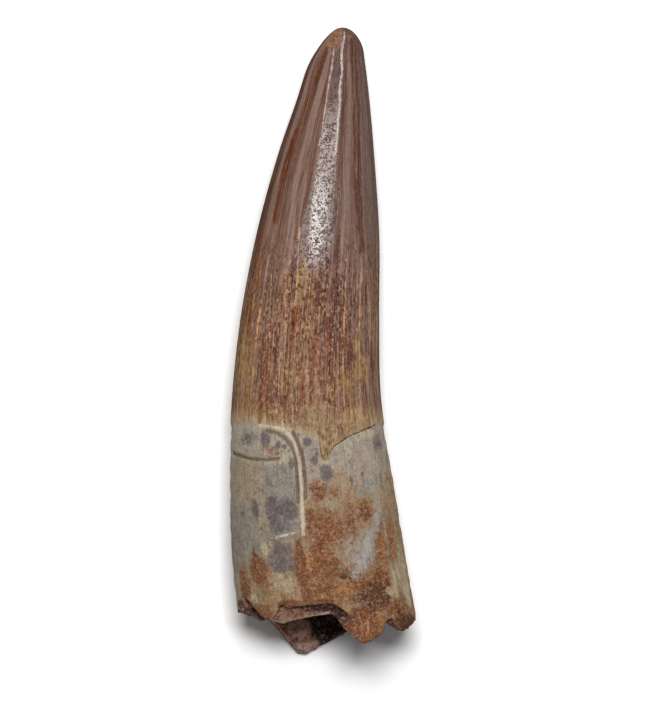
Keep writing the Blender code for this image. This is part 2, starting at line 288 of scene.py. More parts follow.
CROWN_STAINS = {
    "ember": Stain((142, 82, 50), 0.85, 0.9, 1.3, 0.3, (
        (-3.6, 59.2, 0.5, 1.3, 1), (-4.2, 53.0, 1.0, 3.6, 0.7), (-3.8, 51.7, 0.5, 2.3, 1),
        (-1.0, 47.6, 0.6, 4.5, 0.9), (3.2, 50.1, 0.9, 0.8, 0.8), (3.8, 50.6, 0.6, 1.2, 0.7),
        (-10.1, 53.0, 0.7, 3.6, 0.7), (-3.3, 43.4, 0.3, 2.1, 0.9), (-8.5, 46.3, 0.6, 1.1, 0.5),
        (-5.8, 43.5, 0.3, 2.8, 0.5), (5.4, 52.0, 0.4, 1.4, 0.6), (-10.1, 48.4, 0.7, 1.0, 0.6))),
    "dusk": Stain((92, 68, 64), 0.8, 1.2, 1.2, 0.3, (
        (2.4, 93.8, 0.7, 3.0, 1.0), (1.9, 88.8, 0.8, 3.0, 0.9), (4.0, 99.2, 1.6, 0.5, 1.0),
        (5.2, 96.6, 1.1, 2.0, 0.9), (-1.5, 63.0, 1.2, 2.0, 0.4))),
    "moss": Stain((126, 110, 64), 0.8, 1.0, 1.0, 0.3, ((0.4, 32.2, 0.9, 1.0, 1.0),)),
    "plum": Stain((90, 62, 63), 0.9, 1.1, 1.6, 0.25, (
        (1.1, 57.5, 2.8, 3.8, 0.55), (1.7, 53.2, 1.5, 2.4, 0.85), (-7.3, 49.9, 1.2, 3.2, 0.75),
        (3.7, 46.8, 2.8, 1.6, 0.55), (1.3, 45.5, 0.8, 4.7, 0.6), (-2.5, 48.5, 0.8, 1.4, 0.6),
        (-1.7, 46.8, 0.6, 1.6, 0.5), (7.5, 47.5, 1.3, 2.4, 0.6), (-0.4, 59.6, 0.6, 3.0, 0.5),
        (5.5, 48.0, 1.1, 2.2, 0.5), (2.0, 64.6, 0.9, 2.6, 0.9), (-9.2, 58.2, 1.2, 3.0, 0.6),
        (4.9, 58.2, 2.2, 3.4, 0.8), (-8.0, 57.0, 1.4, 4.0, 0.55), (-3.4, 49.4, 0.8, 1.4, 0.6),
        (2.3, 50.2, 1.2, 3.0, 0.8))),
    "mauve": Stain((126, 101, 96), 0.7, 1.2, 1.5, 0.3, (
        (-8.6, 59.1, 1.5, 4.4, 0.4), (-4.4, 66.0, 0.9, 3.6, 0.8), (5.7, 61.6, 3.6, 5.1, 0.6),
        (7.4, 53.7, 2.6, 3.5, 0.5), (7.7, 54.2, 4.9, 2.4, 0.5), (5.0, 52.9, 1.7, 2.1, 0.6),
        (-2.7, 51.8, 1.0, 1.6, 0.4))),
    "gold": Stain((166, 144, 108), 0.9, 1.0, 1.4, 0.3, (
        (0.6, 36.4, 2.2, 3.4, 1.0), (4.5, 37.8, 3.0, 1.6, 0.8), (-1.5, 38.6, 2.5, 1.6, 0.7))),
    "straw": Stain((172, 140, 90), 0.8, 1.0, 1.8, 0.25, (
        (-3.4, 59.0, 0.8, 3.4, 1.1), (-2.7, 51.7, 0.6, 0.9, 1.1), (5.4, 49.4, 0.7, 1.4, 0.8),
        (3.2, 44.1, 1.3, 2.1, 0.55), (4.0, 43.0, 0.8, 2.2, 0.6), (-12.7, 46.3, 3.7, 5.5, 0.5),
        (-5.0, 44.5, 1.5, 3.8, 0.45), (-7.7, 38.8, 4.3, 1.3, 0.5), (6.2, 38.5, 6.0, 1.6, 0.45),
        (-3.1, 49.3, 0.5, 0.9, 0.6), (1.0, 41.9, 0.5, 2.7, 0.5), (6.2, 45.5, 2.2, 2.5, 0.6))),
    "olive": Stain((120, 102, 74), 0.75, 1.1, 1.6, 0.3, (
        (8.3, 54.2, 2.1, 4.0, 0.7), (7.9, 62.4, 1.5, 4.3, 0.5), (-2.7, 48.0, 1.0, 2.8, 0.55),
        (-11.6, 42.5, 2.8, 3.0, 0.5), (6.1, 42.3, 2.4, 2.2, 0.5), (-7.3, 54.2, 0.9, 2.4, 0.5),
        (-1.9, 42.3, 0.8, 2.2, 0.45))),
}

ROOT_STAINS = {
    "olive_wash": Stain((148, 135, 111), 0.75, 2.0, 1.0, 0.35, (
        (-12.6, 28.1, 4.8, 3.2, 1.0), (-12.6, 24.1, 4.5, 4.0, 0.55), (-6.8, 26.0, 3.3, 1.1, 0.4),
        (-12.6, 33.3, 4.4, 2.4, 0.25))),
    "grey_wash": Stain((132, 128, 120), 0.75, 2.0, 1.0, 0.35, (
        (-13.0, 18.6, 5.3, 5.5, 1.0), (-6.6, 27.9, 3.1, 3.0, 0.9), (-6.4, 22.2, 2.9, 3.6, 1.0),
        (-12.3, 34.9, 3.4, 1.4, 0.3))),
    "mauve_wash": Stain((150, 136, 126), 0.75, 1.8, 1.1, 0.35, (
        (-1.6, 31.3, 1.5, 4.1, 1.1), (5.7, 30.3, 1.9, 3.2, 0.9), (8.8, 33.6, 3.4, 2.4, 0.6),
        (1.5, 24.6, 1.0, 1.6, 0.7), (5.6, 23.3, 1.1, 1.6, 0.5), (-3.0, 27.3, 0.6, 2.4, 0.6))),
    "tan": Stain((150, 122, 92), 0.8, 1.1, 1.6, 0.35, (
        (2.8, 25.7, 1.7, 4.0, 0.8), (-1.0, 23.8, 1.9, 1.7, 1.1), (3.9, 27.4, 1.3, 2.2, 0.7),
        (11.6, 22.5, 4.2, 7.1, 0.8), (-12.3, 12.3, 1.9, 3.2, 0.7), (-4.8, 9.3, 4.8, 2.1, 0.75),
        (2.3, 10.8, 2.4, 3.6, 0.6), (5.8, 23.7, 2.9, 3.8, 0.8), (-8.4, 33.1, 1.5, 0.7, 0.5))),
    "violet": Stain((100, 92, 93), 0.92, 1.3, 1.0, 0.28, (
        (-11.8, 34.7, 2.3, 1.3, 0.55), (-9.1, 34.8, 0.9, 1.5, 0.8), (-8.0, 35.9, 0.7, 0.4, 0.7),
        (-7.0, 33.9, 0.4, 0.6, 1), (-5.9, 33.5, 0.4, 0.4, 1), (-5.3, 32.9, 0.2, 0.2, 0.9),
        (-4.9, 30.9, 0.4, 0.9, 1), (-2.4, 34.3, 0.7, 0.7, 1), (-0.9, 32.4, 0.3, 0.4, 0.9),
        (-1.3, 31.4, 0.6, 0.6, 1), (0.6, 29.4, 1.0, 1.5, 0.85), (-7.8, 23.9, 1.4, 1.8, 1),
        (-5.4, 23.7, 1.5, 1.9, 1), (-10.7, 23.7, 1.0, 1.7, 0.75), (-6.5, 21.3, 2.7, 1.7, 0.6),
        (-6.4, 15.9, 2.3, 3.0, 0.75), (-12.6, 22.9, 0.9, 0.8, 0.5), (-8.4, 28.1, 1.1, 1.9, 0.4),
        (9.0, 34.1, 1.8, 1.6, 0.6), (6.3, 29.0, 0.3, 0.6, 0.7), (4.6, 28.1, 0.3, 0.9, 0.8))),
    "blue": Stain((148, 144, 138), 0.75, 1.2, 1.2, 0.25, (
        (6.1, 15.4, 2.0, 1.9, 0.75), (7.3, 18.0, 1.0, 2.8, 0.8), (8.4, 21.4, 0.9, 1.6, 0.9),
        (7.8, 27.6, 2.1, 1.4, 0.55), (5.0, 18.1, 1.4, 1.4, 0.5), (6.2, 26.4, 0.8, 1.0, 0.8))),
    "cream": Stain((180, 168, 138), 0.8, 0.9, 1.2, 0.28, (
        (-7.2, 36.6, 3.8, 0.7, 0.9), (7.5, 35.6, 3.0, 0.6, 0.7), (-6.7, 31.6, 0.8, 0.6, 0.9),
        (-9.2, 17.5, 0.7, 1.1, 0.8), (-6.0, 12.4, 2.6, 1.8, 0.5), (-11.0, 9.9, 2.1, 1.4, 0.55),
        (10.6, 10.5, 1.1, 1.4, 0.85), (12.7, 14.2, 3.3, 3.8, 0.6), (13.6, 10.4, 1.6, 2.2, 1.0),
        (11.4, 12.4, 0.9, 3.0, 0.8), (-14.2, 12.6, 1.1, 3.6, 0.7), (0.5, 31.3, 0.6, 0.5, 0.7),
        (4.6, 34.1, 2.1, 0.6, 0.4), (-2.8, 26.8, 0.2, 1.9, 0.6), (4.2, 32.8, 0.5, 1.9, 0.4),
        (10.2, 18.6, 0.5, 3.5, 0.7), (-5.3, 28.9, 0.5, 0.8, 0.3))),
    "rust": Stain((126, 79, 50), 0.85, 0.6, 1.3, 0.38, (
        (-0.7, 26.7, 1.4, 1.7, 0.85), (0.6, 20.6, 3.2, 3.0, 0.85), (0.1, 15.4, 2.7, 3.2, 0.95),
        (-3.0, 13.4, 1.0, 4.4, 0.9), (0.8, 10.8, 3.6, 2.3, 0.75), (-10.2, 14.2, 1.8, 2.2, 1.05),
        (-10.8, 16.5, 0.6, 1.1, 0.9), (6.7, 23.5, 1.9, 2.4, 0.5), (9.3, 18.4, 2.1, 4.3, 0.65),
        (11.2, 18.8, 1.7, 4.2, 0.6), (1.6, 26.4, 1.2, 0.9, 0.5), (4.2, 14.0, 2.2, 1.1, 0.6),
        (9.1, 12.9, 2.8, 2.2, 0.75), (-12.4, 11.3, 1.6, 3.2, 0.8), (-1.9, 22.4, 0.8, 2.0, 0.7),
        (5.9, 12.0, 1.7, 1.0, 1.0), (-9.7, 7.5, 2.3, 1.3, 0.9), (4.4, 22.0, 1.1, 4.0, 0.6),
        (4.6, 11.0, 1.0, 2.2, 0.8), (-5.6, 8.9, 1.8, 0.9, 0.8), (7.0, 5.5, 3.6, 2.7, 1),
        (11.8, 8.2, 4.4, 1.7, 0.8), (-8.0, 33.1, 1.2, 0.6, 0.5), (-8.0, 32.2, 0.7, 0.3, 0.4))),
    "redness": Stain((108, 64, 48), 0.75, 0.7, 1.9, 0.28, (
        (-3.8, 17.6, 0.6, 1.3, 0.9), (-3.0, 15.9, 0.4, 1.2, 0.6), (-2.8, 13.0, 0.8, 0.8, 0.4),
        (-2.4, 10.4, 0.9, 1.3, 0.8), (-0.3, 18.8, 0.8, 0.8, 0.7), (-0.4, 25.8, 0.7, 0.6, 0.7),
        (4.2, 13.3, 2.2, 0.6, 0.7), (11.3, 17.3, 1.3, 1.3, 0.4), (5.4, 7.2, 0.8, 1.3, 1.0),
        (3.8, 6.9, 1.1, 0.6, 0.7), (-7.2, 32.5, 0.3, 0.3, 0.9), (-1.7, 21.9, 1.0, 1.7, 0.5),
        (-0.5, 9.1, 2.6, 0.6, 0.9), (-4.4, 8.9, 2.6, 0.6, 1.1), (7.4, 8.5, 2.0, 0.7, 0.8))),
    "ochre": Stain((158, 112, 72), 0.7, 0.7, 1.4, 0.25, (
        (-2.1, 15.6, 0.6, 1.5, 1.0), (11.6, 17.6, 0.8, 3.0, 0.7), (9.6, 17.0, 0.8, 2.6, 0.7),
        (3.5, 11.3, 1.4, 0.9, 1.0), (0.4, 32.3, 0.6, 0.9, 0.6), (8.0, 14.0, 0.6, 0.5, 0.6),
        (7.0, 24.4, 1.0, 1.4, 0.45), (8.9, 18.6, 1.1, 3.2, 0.4), (4.1, 14.5, 0.6, 0.9, 0.3),
        (9.3, 6.2, 0.9, 1.6, 0.7))),
    "crust": Stain((84, 54, 42), 0.9, 0.6, 2.0, 0.25, (
        (6.6, 10.0, 1.8, 1.6, 0.75), (9.3, 9.6, 1.9, 1.1, 0.95), (4.0, 13.4, 1.3, 0.8, 0.6),
        (8.3, 11.4, 2.0, 1.6, 0.6), (10.2, 12.4, 0.5, 0.8, 0.7), (-12.7, 8.6, 3.1, 0.8, 0.9),
        (12.2, 7.4, 0.6, 0.7, 0.9), (7.8, 8.1, 1.1, 0.9, 0.6), (13.5, 5.7, 3.8, 1.3, 1.1),
        (6.7, 23.3, 1.5, 1.6, 0.35))),
}

# The broken end's marks lie where they are seen from above: first on the upper wall, then on the
# splinter that sticks out below it.
WALL_LINES = {
    "wall_lip": Line(0.22, 0, (204, 172, 150), 0.8, 1.2, (
        (-8.0, 6.4), (-6.8, 5.8), (-5.5, 5.8), (-4.1, 6.3), (-2.3, 6.6), (-0.4, 7.2), (1.0, 7.6))),
    "side_lip": Line(0.22, 0, (196, 156, 126), 0.8, 1.2, ((1.4, 7.2), (2.4, 5.7), (3.6, 4.5), (4.8, 3.6))),
}
WALL_STAINS = {
    # A plum-dark band: partly the wall's colour, partly painted shade under the outer edge and beside the
    # lobe.
    "wall_plum_and_shade": Stain((66, 42, 42), 0.9, 0.7, 1.2, 0.25, (
        (-1.1, 8.5, 3.5, 0.9, 1.2), (2.3, 7.6, 1.8, 1.0, 0.9), (-6.0, 8.5, 0.9, 0.4, 1.1),
        (5.4, 7.0, 0.8, 1.1, 0.7))),
    "wall_tan": Stain((158, 120, 98), 0.9, 0.9, 1.2, 0.3, (
        (-5.6, 6.9, 2.7, 1.3, 1.2), (-1.5, 7.2, 2.7, 0.6, 0.9))),
    "wall_rose": Stain((146, 96, 80), 0.8, 0.6, 1.6, 0.3, (
        (-3.6, 7.4, 0.9, 0.8, 0.9), (-9.5, 7.2, 1.7, 1.3, 0.9), (-6.9, 6.6, 0.8, 0.6, 0.4))),
    "wall_orange": Stain((178, 112, 74), 0.85, 0.7, 1.2, 0.3, ((5.2, 4.1, 1.8, 2.0, 1.2),)),
    "block": Stain((88, 60, 48), 0.9, 0.8, 1.2, 0.3, (
        (-10.9, 6.9, 1.9, 1.3, 1.3), (13.0, 5.6, 2.1, 1.6, 1.4))),
}
SPLINTER_LINES = {
    "splinter_edge": Line(0.18, 0, (160, 146, 134), 0.8, 1.0, (
        (-9.1, 6.0), (-7.6, 3.9), (-6.0, 1.8), (-4.7, 0.2), (-3.8, 0.0), (-2.2, 0.4), (-0.4, 1.2),
        (1.5, 2.0), (3.5, 3.3), (4.8, 4.0))),
}
SPLINTER_STAINS = {
    "splinter_body": Stain((178, 132, 116), 0.9, 0.7, 1.5, 0.3, (
        (-6.3, 3.7, 2.7, 2.5, 1.0), (-4.2, 3.2, 2.2, 2.7, 0.9), (-2.7, 1.0, 2.5, 1.4, 1.0))),
    "splinter_rust": Stain((170, 108, 80), 0.8, 0.6, 1.7, 0.3, (
        (-7.2, 4.2, 1.4, 1.7, 0.9), (-4.4, 2.5, 1.1, 1.3, 0.5))),
    "splinter_plum": Stain((126, 88, 88), 0.85, 0.6, 1.7, 0.3, ((-4.4, 3.8, 1.5, 2.0, 0.75),)),
    "splinter_pale": Stain((170, 142, 126), 0.8, 0.7, 1.4, 0.3, (
        (-5.8, 2.3, 0.9, 1.1, 0.7), (-2.8, 0.8, 2.1, 1.2, 1.0), (-1.5, 2.0, 0.8, 0.8, 0.6))),
    # Painted light: a pale spot that lifts the shade the upper wall casts on the splinter.
    "splinter_painted_light": Stain((228, 178, 154), 0.9, 0.7, 1.6, 0.3, ((-3.6, 4.3, 1.8, 1.5, 1.0),)),
    # Near-black spots on the splinter's inner face: a manganese lining deepened by painted shade.
    "lining_and_shade": Stain((28, 19, 19), 0.95, 1.0, 1.2, 0.3, (
        (1.6, 4.6, 3.2, 3.0, 1.2), (-1.0, 6.3, 2.9, 1.2, 0.8))),
}

# A ragged mark is cut off where its strength and the clouds come to this.
MASK_CUT = 0.42

# Shapes of streaks down the tooth: their rates round and along it, and the noise at their edge and at
# their core. They break up the stains, the lines and the ridges, and wrinkle the enamel.
STAIN_TEARS = (24, 75, 0.32, 0.56)
LINE_PATCHES = (9, 170, 0.28, 0.52)
RIDGE_BREAKS = (14, 230, 0.38, 0.62)
WRINKLE_HAIRS = (42, 150, 0.35, 0.65)

# Streaks as such shapes, each followed by its strength and its colour.
BROAD_STREAKS = (
    (7, 40, 0.50, 0.64, 0.45, (96, 64, 50)),
    (10, 50, 0.52, 0.66, 0.35, (138, 116, 106)),
)
LOW_STREAKS = (
    (9, 45, 0.50, 0.62, 0.8, (130, 70, 42)),
    (16, 85, 0.50, 0.62, 0.7, (162, 124, 76)),
)
LOW_RIGHT_STREAKS = (
    (12, 62, 0.50, 0.62, 0.8, (80, 52, 54)),
    (20, 95, 0.50, 0.62, 0.5, (148, 122, 112)),
)
FINE_STREAKS = (
    (26, 40, 0.54, 0.64, 0.3, (152, 130, 116)),
    (34, 50, 0.52, 0.64, 0.4, (76, 52, 42)),
)
FIBRES = (
    (64, 240, 0.50, 0.66, 1, (176, 146, 124)),
    (72, 200, 0.50, 0.66, 1, (56, 36, 30)),
)
# Thin pale streaks of the low crown, painted highlights of its fine ridges.
THIN_PAINTED_HIGHLIGHTS = ((48, 60, 0.57, 0.66, 0.85, (206, 164, 134)),)
ROOT_STREAKS = (
    (10, 35, 0.47, 0.62, 0.5, (138, 120, 98)),
    (16, 50, 0.50, 0.64, 0.5, (160, 148, 130)),
)
DARK_ROOT_HAIRS = ((55, 160, 0.53, 0.66, 0.4, (92, 76, 62)),)

# Tints that come in as a value goes from one number to another, up to a strength, with their colour.
# For the sides the value is the cosine of the angle round the tooth: on the crown the side tints are
# painted shade that darkens it towards both edges, and the grey one on its right flank is a painted
# sheen. Then come tints by depth, by the height above the enamel's foot in millimetres, by the height
# above the tooth's middle, and by noise.
SIDE_SHADE_AND_SHEEN = (
    (0.55, 0.85, 1, (104, 86, 80)),
    (0.90, 1.00, 1, (84, 68, 62)),
    (-0.80, -0.98, 1, (84, 58, 48)),
)
# Painted light: lifts the root's left side, where its surface turns away from the lights.
ROOT_SIDE_PAINTED_LIGHT = ((-0.70, -0.98, 0.5, (172, 162, 146)),)
TIP_TINTS = ((14 * MM, 3 * MM, 0.5, (78, 54, 46)),)
GREY_TINTS = ((46 * MM, 34 * MM, 0.3, (108, 92, 90)),)
FOOT_TINTS = ((4.4, 1.4, 0.85, (160, 136, 98)),)
FOOT_EDGE_TINTS = ((2.2, 0.2, 0.7, (178, 162, 134)),)
ROOT_HEIGHT_TINTS = ((-25 * MM, -15 * MM, 0.4, (174, 164, 152)),)
ROOT_MOTTLE = ((0.50, 0.64, 0.3, (104, 78, 60)), (0.49, 0.36, 0.4, (172, 152, 128)))
LATE_ROOT_MOTTLE = ((0.50, 0.64, 0.2, (92, 66, 50)), (0.49, 0.36, 0.12, (186, 166, 142)))
PALE_GRIT = ((0.52, 0.66, 1, (188, 172, 150)),)
DARK_GRIT = ((0.49, 0.36, 0.5, (78, 62, 50)),)
RUSTY_GRIT = ((0.52, 0.42, 0.5, (84, 44, 30)),)
BREAK_MOTTLE = ((0.52, 0.60, 0.5, (62, 36, 32)), (0.44, 0.36, 0.4, (206, 176, 158)))
BREAK_GRIT = ((0.53, 0.66, 0.45, (196, 170, 154)), (0.49, 0.38, 0.7, (56, 30, 26)))


def curve_through(places, values, at):
    """A smooth cubic curve through the values, whose slope at each is that of its neighbours."""
    slopes = np.gradient(values, places)
    i = np.clip(np.searchsorted(places, at) - 1, 0, len(places) - 2)
    span = places[i + 1] - places[i]
    t = np.clip((at - places[i]) / span, 0, 1)
    from_start = (1 - t) ** 2 * (values[i] * (1 + 2 * t) + slopes[i] * span * t)
    from_end = t**2 * (values[i + 1] * (3 - 2 * t) - slopes[i + 1] * span * (1 - t))
    return from_start + from_end


def on_lines(stations, at):
    """The value at a place in metres, on straight lines through stations in millimetres."""
    places, values = np.array(stations).T
    return np.interp(at / MM, places, values)


def within(angle, right, left, soft):
    """1 between two angles in degrees, falling to 0 at each of them over a soft edge inside."""
    degrees = np.degrees(angle)
    return np.clip(np.minimum(degrees - right, left - degrees) / soft, 0, 1)


def section(depth):
    """Centre x, centre height, half width and half thickness at a depth.

    The curves run along the square root of the depth, which rounds the tip as a parabola is round."""
    depths, left, right, centre, share = np.array(SECTIONS).T
    places, at = np.sqrt(depths * MM), np.sqrt(np.maximum(depth, 0))
    left_edge, right_edge, centre_z = (curve_through(places, v * MM, at) for v in (left, right, centre))
    half_width = (right_edge - left_edge) / 2
    return (left_edge + right_edge) / 2, centre_z, half_width, half_width * curve_through(places, share, at)


def place_round(x, height):
    """The angle round the upper side at which a mark with this x and height lies, in metres."""
    centre_x, _, half_width, _ = section(LENGTH - height)
    return np.arccos(np.clip((x - centre_x) / half_width, -1, 1))


def turn_between(angle, other):
    """The turn from one angle to another, the short way round."""
    return (angle - other + math.pi) % (2 * math.pi) - math.pi


def clouds(points, size, seed, waves=28):
    """An even, cloudy unevenness between about -1 and 1: many sine waves in random directions,
    each about as long as the size, added up."""
    draw = np.random.default_rng(seed)
    directions = draw.normal(size=(waves, 3))
    directions /= np.linalg.norm(directions, axis=1, keepdims=True)
    rates = 2 * math.pi / size * draw.uniform(0.6, 1.5, waves)
    turns = draw.uniform(0, 2 * math.pi, waves)
    total = np.zeros(points.shape[:-1])
    for direction, rate, turn in zip(directions, rates, turns):
        total += np.sin(points @ direction * rate + turn)
    return total / math.sqrt(2 * waves) * 1.3


def roughness(points, layers):
    """Layers of clouds, added up, each with its height and size in millimetres and its seed."""
    return sum(height * MM * clouds(points, size * MM, seed) for height, size, seed in layers)


def flute_channels(angle, depth):
    """How deep the flutes are cut, and how far each point is down its channel, from 0 on a crest to 1.

    Between two crests the channel is an arch, half a sine wave that is deepest in the middle."""
    crests, channel_depths = np.array(FLUTES).T
    turned = (np.degrees(angle) - crests[0]) % 360
    edges = np.append(crests - crests[0], 360)
    which = np.clip(np.searchsorted(edges, turned, side="right") - 1, 0, len(crests) - 1)
    along = (turned - edges[which]) / (edges[which + 1] - edges[which])
    arch = np.sin(math.pi * along)
    return channel_depths[which] * MM * on_lines(FLUTE_FADE, depth) * arch, arch


def fine_ridges(angle, depth):
    """Crests of the fine ridges, from 0 between them to each ridge's own height: sharp arches round the
    crown, unevenly spaced, each of which starts at its own depth."""
    spread = angle + sum(size * np.sin(waves * angle + start) for size, waves, start in RIDGE_WOBBLES)
    turns = RIDGES * spread / (2 * math.pi)
    which = np.round(turns).astype(int) % RIDGES
    draw = np.random.default_rng(21)
    heights, starts = draw.uniform(*RIDGE_HEIGHTS, RIDGES), draw.uniform(*RIDGE_STARTS, RIDGES)
    grown = np.clip((depth / MM - starts[which]) / RIDGE_GROWTH, 0, 1)
    smooth = within(angle, *SMOOTH_FLAT, soft=1) * (depth < SMOOTH_FLAT_END)
    return (1 - np.abs(np.sin(math.pi * turns))) * heights[which] * grown * (1 - smooth)


def polish(angle, depth):
    """How polished the enamel is: only on the flat between the two sharp crests on top, which widens
    downwards, and only between depths."""
    right, left = on_lines(POLISH_RIGHT, depth), on_lines(POLISH_LEFT, depth)
    return within(angle, right, left, soft=3) * on_lines(POLISH_FADE, depth)


def enamel_reach(x, height, angle):
    """Height above the enamel's foot: along its drawn edge on the upper side, a slow wave below."""
    drawn = on_lines(ENAMEL_FOOT, x) * MM
    below = LOWER_FOOT + LOWER_FOOT_WAVE * np.sin(3 * angle + 0.5) * np.sin(angle)
    return height - np.where(np.sin(angle) >= 0, drawn, below)


def roll_out(angle, height):
    """Places on the skin rolled out flat: the way round from the tooth's top line, and the height."""
    half_width = section(LENGTH - height)[2]
    return np.stack((half_width * turn_between(angle, math.pi / 2), height), axis=-1)


def on_skin(x, height):
    """Where a mark at x and height in millimetres lies on the rolled-out skin."""
    return roll_out(place_round(x * MM, height * MM), height * MM)


def from_above(x, height):
    """Where a mark at x and height in millimetres lies as it is seen from above."""
    return np.stack((x, height), axis=-1) * MM


def oval_reach(place, x, middle, half_width, half_length, lay=on_skin):
    """The squared distance from an oval's middle, which is 1 all along its edge."""
    return (((place - lay(x, middle)) / MM / (half_width, half_length)) ** 2).sum(axis=-1)


def line_nearness(place, line, lay=on_skin):
    """A bell curve across a drawn line: 1 on the line, and about a third at its half width.

    Distances run to the nearest of the line's straight stretches."""
    corners = lay(*np.array(line.points).T)
    nearest = np.full(place.shape[:-1], np.inf)
    for start, end in zip(corners[:-1], corners[1:]):
        run = end - start
        t = np.clip((place - start) @ run / (run @ run), 0, 1)
        nearest = np.minimum(nearest, np.linalg.norm(place - start - t[..., None] * run, axis=-1))
    return np.exp(-((nearest / (line.half_width * MM)) ** 2))


def stain_strength(place, stain, lay=on_skin):
    """The strongest of a stain's oval spots, each falling from its strength in the middle to 0 outside."""
    strength = np.zeros(place.shape[:-1])
    for *oval, spot_strength in stain.spots:
        strength = np.maximum(strength, spot_strength * (1 - 0.5 * oval_reach(place, *oval, lay)))
    return strength


def swelling(place):
    """Broad bell-shaped rises and dents of the root."""
    return sum(rise * MM * np.exp(-oval_reach(place, *oval)) for *oval, rise in SWELLINGS)


def tooth_point(angle, depth, share=1.0):
    """The point at an angle round the tooth and a depth, on an oval of a share of its full size."""
    centre_x, centre_z, half_width, half_thick = section(depth)
    x = centre_x + share * half_width * np.cos(angle)
    z = centre_z + share * half_thick * np.sin(angle)
    return np.stack((x, LENGTH / 2 - depth, z), axis=-1)


def outer_rise(angle, depth, flat_point):
    """How far the outer face stands above the plain oval: flutes, ridges, enamel step, lines and crust."""
    height = LENGTH - depth
    place = roll_out(angle, height)
    enamel = np.clip(enamel_reach(flat_point[..., 0], height, angle) / ENAMEL_STEP + 0.5, 0, 1)
    bare = 1 - enamel
    rise = -bare * ENAMEL_THICKNESS - flute_channels(angle, depth)[0]
    rise += fine_ridges(angle, depth) * RIDGE_HEIGHT * on_lines(RIDGE_FADE, depth) * enamel
    rise += swelling(place) * bare
    for line in (*CROWN_LINES.values(), *ROOT_LINES.values()):
        if line.rise:
            rise += line.rise * MM * line_nearness(place, line)
    crust, rust = (stain_strength(place, ROOT_STAINS[name]) for name in ("crust", "rust"))
    rise += (crust + 0.5 * rust) * roughness(flat_point, CRUST_ROUGHNESS) * bare
    return rise + roughness(flat_point, ROOT_ROUGHNESS) * bare


def outer_skin(angle, depth):
    """The outer face: the plain oval with its rise, cut by the worn facet and flat where it lies."""
    half_width = section(depth)[2]
    plain = tooth_point(angle, depth)
    share = 1 + outer_rise(angle, depth, plain) / np.maximum(half_width, 3 * MM)
    point = tooth_point(angle, depth, share)
    above = np.maximum((point - FACET_POINT) @ FACET_NORMAL, 0)[..., None]
    point = point - above * FACET_NORMAL / (FACET_NORMAL @ FACET_NORMAL)
    point[..., 2] = np.maximum(point[..., 2], 0)
    return point, above[..., 0]


def break_depth(angle, share, upper, lower):
    """Depth of a broken edge, found from how far across the tooth it is on the upper or lower half."""
    centre_x, _, half_width, _ = section(np.array(BREAK_SECTION_DEPTH))
    x = centre_x + share * half_width * np.cos(angle)
    return LENGTH - np.where(np.sin(angle) >= 0, on_lines(upper, x), on_lines(lower, x)) * MM


def ring_angles():
    """Angles round the tooth from its underside on: an even angle plus a part of its cosine."""
    even = 2 * math.pi * np.arange(COLUMNS) / COLUMNS - math.pi / 2
    return even + UPPER_CROWDING * np.cos(even)


def cavity_wall(angle, cavity):
    """The pulp cavity's wall: ovals from the broken edge up, which close over its end as a dome."""
    edge = break_depth(angle, 1 - WALL_SHARE, UPPER_WALL_BREAK, LOWER_WALL_BREAK)
    depth = edge + (LENGTH - CAVITY_HEIGHT - edge) * cavity
    return tooth_point(angle, depth, (1 - WALL_SHARE) * np.sqrt(1 - cavity**2))


def across_wall(outside, ledge, inside, wall):
    """The broken wall: straight from the outer face to a narrow ledge, then straight to the inner face."""
    step = np.clip(wall / LEDGE_ROWS, 0, 1)[..., None]
    slope = np.clip((wall - LEDGE_ROWS) / (1 - LEDGE_ROWS), 0, 1)[..., None]
    across = outside + (ledge - outside) * step + (inside - ledge) * slope
    return np.where(wall[..., None] >= 1, inside, across)


def tooth_surface():
    """Points of the whole skin, row by row: down the outside, across the wall and up the cavity.

    Also gives each point's angle, how far up the cavity it is, and how much has been worn off it."""
    stretches = np.array((CROWN_ROWS, ROOT_ROWS, WALL_ROWS, CAVITY_ROWS))
    starts = np.cumsum(stretches) - stretches
    down, angle = np.meshgrid(np.arange(stretches.sum() + 1.0), ring_angles(), indexing="ij")
    crown, root, wall, cavity = (np.clip((down - s) / rows, 0, 1) for s, rows in zip(starts, stretches))

    edge = break_depth(angle, 1, UPPER_OUTER_BREAK, LOWER_OUTER_BREAK)
    outside, worn = outer_skin(angle, CROWN_LENGTH * crown**TIP_CROWDING + (edge - CROWN_LENGTH) * root)
    ledge = tooth_point(angle, edge - LEDGE_RISE, LEDGE_SHARE)
    points = across_wall(outside, ledge, cavity_wall(angle, cavity), wall)

    rough = roughness(points, WALL_ROUGHNESS)
    points[..., 1] += rough * np.sin(math.pi * wall**0.7)
    points[..., 2] += 0.6 * rough * np.sin(math.pi * wall)
    points[..., 2] += np.sign(cavity) * roughness(points, CAVITY_ROUGHNESS)
    return points, angle, cavity, worn


def faces_of(*corners):
    """Faces from arrays of their corners. A single number is a corner that all the faces share."""
    return np.stack(np.broadcast_arrays(*corners), axis=-1).reshape(-1, len(corners)).tolist()


def closed_mesh(name, grid):
    """A mesh over a grid of rows of points. Rows run round as rings, and both ends close in a point."""
    points = on_points(grid)
    tip, top = len(points) - 2, len(points) - 1
    index = np.arange(tip).reshape(-1, grid.shape[1])
    right = np.roll(index, -1, axis=1)
    faces = faces_of(tip, index[0], right[0])
    faces += faces_of(index[:-1], index[1:], right[1:], right[:-1])
    faces += faces_of(index[-1], top, right[-1])
    mesh = bpy.data.meshes.new(name)
    mesh.from_pydata(points, [], faces)
    mesh.validate()
    return mesh


